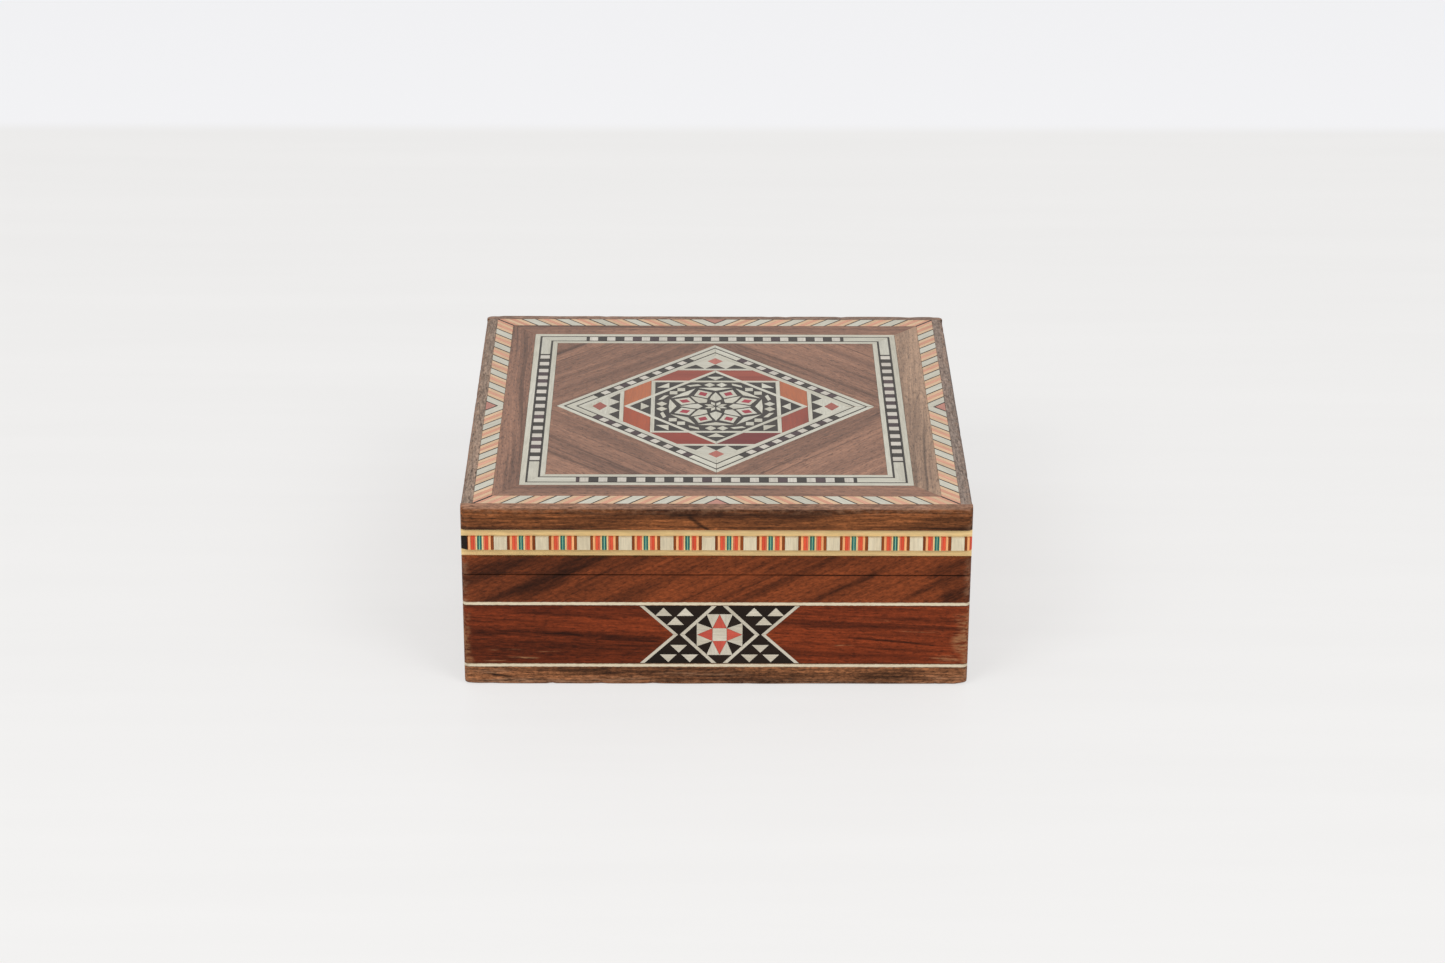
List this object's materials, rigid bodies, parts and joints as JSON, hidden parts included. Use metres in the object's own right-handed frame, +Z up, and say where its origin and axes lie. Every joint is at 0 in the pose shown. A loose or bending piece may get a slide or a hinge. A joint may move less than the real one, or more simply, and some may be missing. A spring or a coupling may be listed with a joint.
{
  "type": "puzzle box",
  "caption": "Square inlaid wooden puzzle box with a hinged lid, a hidden lock behind a sliding front panel and a key in a niche behind a sliding side panel.",
  "frame": {"origin": "middle of the underside, on the surface that the box stands on", "axes": "+X to the right and +Y to the back as the front is seen, +Z up through the lid"},
  "size_m": [0.12, 0.12, 0.0465],
  "materials": {
    "black_inlay": "black wood with bone-white pieces",
    "brass": "plain brass, a little dull",
    "carcass_wood": "plain planed wood",
    "dowel": "birch dowel",
    "felt": "wool felt",
    "mosaic": "mosaic of pale, red, green and brown slips",
    "red_inlay": "dyed red and orange wood",
    "red_wood": "reddish brown wood, satin varnish",
    "steel": "plain steel",
    "walnut": "walnut veneer, satin varnish",
    "walnut_edge": "solid walnut strip, worn satin varnish",
    "walnut_pale": "pale walnut strip, worn satin varnish",
    "white_inlay": "bone-white inlay, polished under varnish"
  },
  "bodies": {
    "box": {"back_panel": "red_wood", "back_plinth": "walnut_pale", "back_rail": "walnut", "back_wall": "carcass_wood", "base_board": "carcass_wood", "body_hinge_leaves": "brass", "body_nails": "brass", "bolt_spring": "steel", "fixed_bow_ties": "black_inlay", "floor_lining": "felt", "front_plinth": "walnut_pale", "front_rail": "walnut", "front_wall": "carcass_wood", "hinge_pins": "brass", "key_post": "steel", "keyhole_plate": "brass", "left_panel": "red_wood", "left_plinth": "walnut_pale", "left_rail": "walnut", "left_wall": "carcass_wood", "lock_case": "brass", "lock_cover": "brass", "lower_white_lines": "white_inlay", "right_plinth": "walnut_pale", "right_rail": "walnut", "right_wall": "carcass_wood", "stop_pins": "dowel", "upper_white_lines": "white_inlay"},
    "lid": {"lid_front_rim": "walnut", "lid_right_rim": "walnut", "lid_back_rim": "walnut", "lid_left_rim": "walnut", "mosaic_bands": "mosaic", "lid_front_edge": "walnut_edge", "lid_right_edge": "walnut_edge", "lid_back_edge": "walnut_edge", "lid_left_edge": "walnut_edge", "lid_board": "carcass_wood", "lid_lining": "felt", "striped_border": "mosaic", "walnut_band": "walnut", "frame_checker_run": "black_inlay", "frame_lines": "white_inlay", "corner_fields": "walnut", "lozenge_lines": "white_inlay", "lozenge_checker_run": "black_inlay", "star_and_bars": "white_inlay", "lozenge_tips": "white_inlay", "red_slants": "red_inlay", "star_points": "black_inlay", "rosette": "black_inlay", "lid_hinge_leaves": "brass", "lid_catch": "brass", "lid_nails": "brass"},
    "front_panel": {"front_panel": "red_wood", "front_bow_tie": "black_inlay"},
    "right_panel": {"right_panel": "red_wood", "right_bow_tie": "black_inlay"},
    "lock_bolt": {"lock_bolt": "steel"},
    "key": {"key": "brass"}
  },
  "joints": [
    {"name": "lid_hinge", "type": "hinge", "parent": "box", "child": "lid", "pos_m": [0, 0.0564, 0.0293], "axis": [-1, 0, 0], "range_deg": [0, 98]},
    {"name": "front_panel_slide", "type": "slide", "parent": "box", "child": "front_panel", "axis": [1, 0, 0], "range_m": [0, 0.066]},
    {"name": "right_panel_slide", "type": "slide", "parent": "box", "child": "right_panel", "axis": [0, 1, 0], "range_m": [0, 0.066]},
    {"name": "lock_bolt_slide", "type": "slide", "parent": "box", "child": "lock_bolt", "axis": [1, 0, 0], "range_m": [0, 0.0036]},
    {"name": "key_play", "type": "slide", "parent": "box", "child": "key", "axis": [0, 1, 0], "range_m": [0, 0.0045]}
  ]
}
